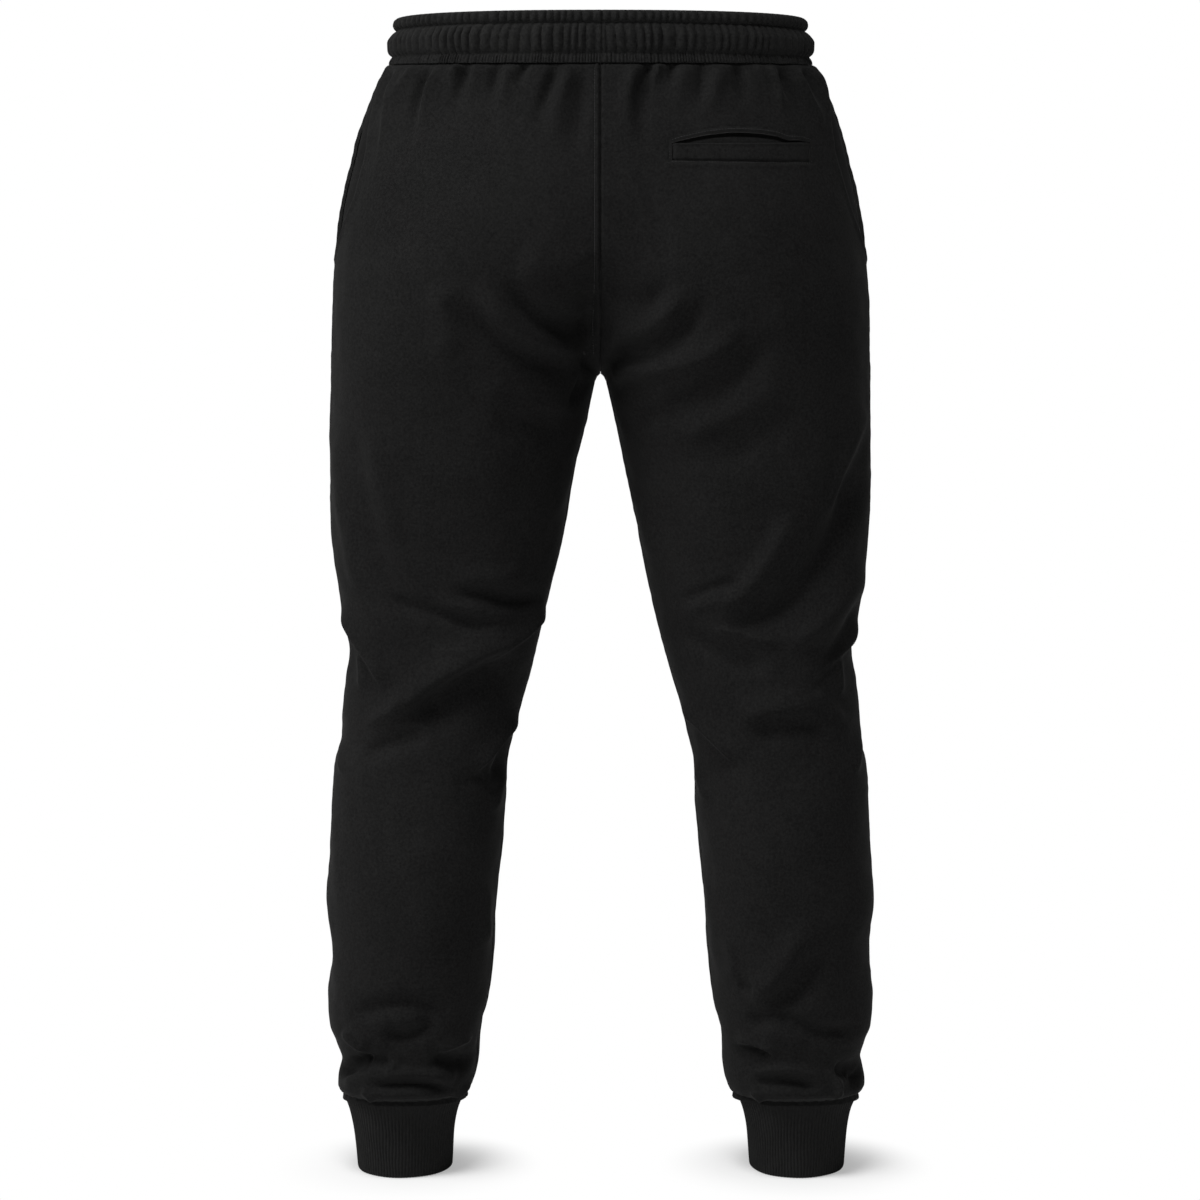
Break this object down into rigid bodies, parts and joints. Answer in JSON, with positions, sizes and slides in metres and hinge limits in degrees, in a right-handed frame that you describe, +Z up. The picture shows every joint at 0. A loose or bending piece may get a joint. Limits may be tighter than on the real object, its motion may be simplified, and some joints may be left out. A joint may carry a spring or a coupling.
{
  "type": "jogger sweatpants",
  "caption": "Fleece jogger sweatpants filled out as when worn, with a gathered elastic waistband, slanted side pockets, a welt back pocket and rib-knit cuffs.",
  "frame": {"origin": "middle of the waist opening, level with the waistband's top edge", "axes": "+Z up towards the waist, +Y towards the wearer's back, +X towards the wearer's left"},
  "size_m": [0.4926, 0.2561, 1.027],
  "materials": {
    "fleece": "black brushed-back fleece, matt, with a fine knit face",
    "rib_knit": "black rib knit, matt",
    "facing": "black fleece pocket facing, matt"
  },
  "bodies": {
    "root": {"waistband": "fleece", "back_left_panel": "fleece", "back_right_panel": "fleece", "front_left_panel": "fleece", "front_right_panel": "fleece", "cuff_left": "rib_knit", "cuff_right": "rib_knit", "back_pocket_welt": "fleece", "back_pocket_facing": "facing", "side_pocket_facing_left": "facing", "side_pocket_facing_right": "facing"}
  },
  "joints": []
}
